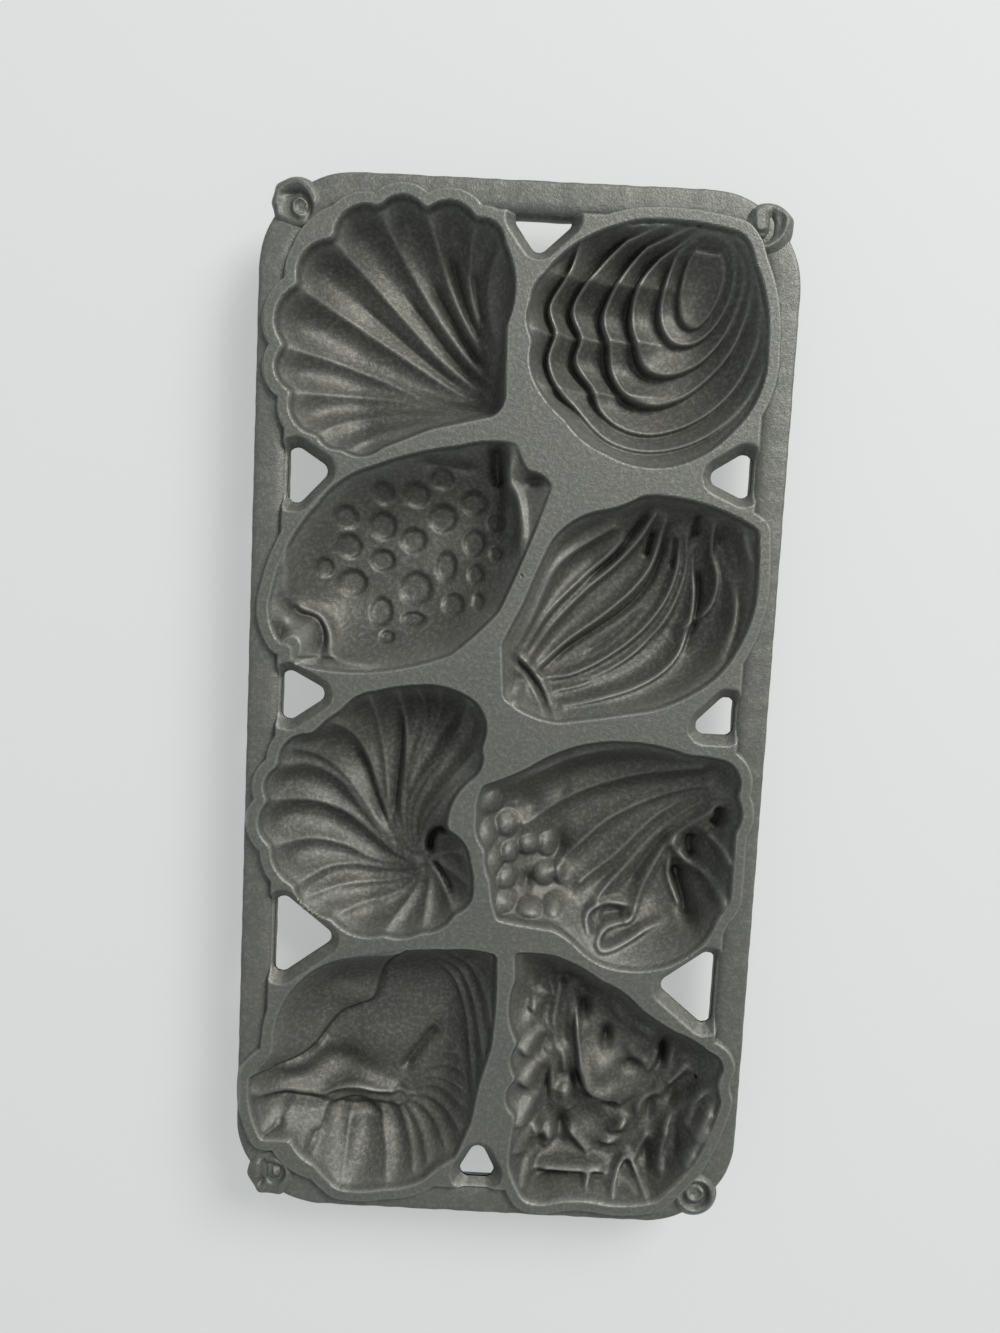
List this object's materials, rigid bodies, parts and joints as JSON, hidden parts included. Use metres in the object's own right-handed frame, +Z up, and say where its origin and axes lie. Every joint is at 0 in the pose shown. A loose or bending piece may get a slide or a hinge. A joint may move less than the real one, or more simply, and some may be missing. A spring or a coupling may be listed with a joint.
{
  "type": "seashell cake mold",
  "caption": "Rectangular cast-iron cake mold with deep fluted seashell cups in a flat land, a rounded border bar, through openings and corner scrolls.",
  "frame": {"origin": "middle of the pan in plan, on the plane that the bottoms of the cups rest on", "axes": "+X across the pan, +Y along it towards the hanging hole, +Z up, out of the cups"},
  "size_m": [0.178, 0.356, 0.027],
  "materials": {
    "cast_iron": "sand-cast, matte, with edges worn bright"
  },
  "bodies": {
    "root": {"rim_frame": "cast_iron", "land": "cast_iron", "scallop_cup": "cast_iron", "oyster_cup": "cast_iron", "cowrie_cup": "cast_iron", "bubble_cup": "cast_iron", "spiral_cup": "cast_iron", "conch_cup": "cast_iron", "whelk_cup": "cast_iron", "murex_cup": "cast_iron", "scroll_top_left": "cast_iron", "scroll_top_right": "cast_iron", "scroll_bottom_left": "cast_iron", "scroll_bottom_right": "cast_iron"}
  },
  "joints": []
}
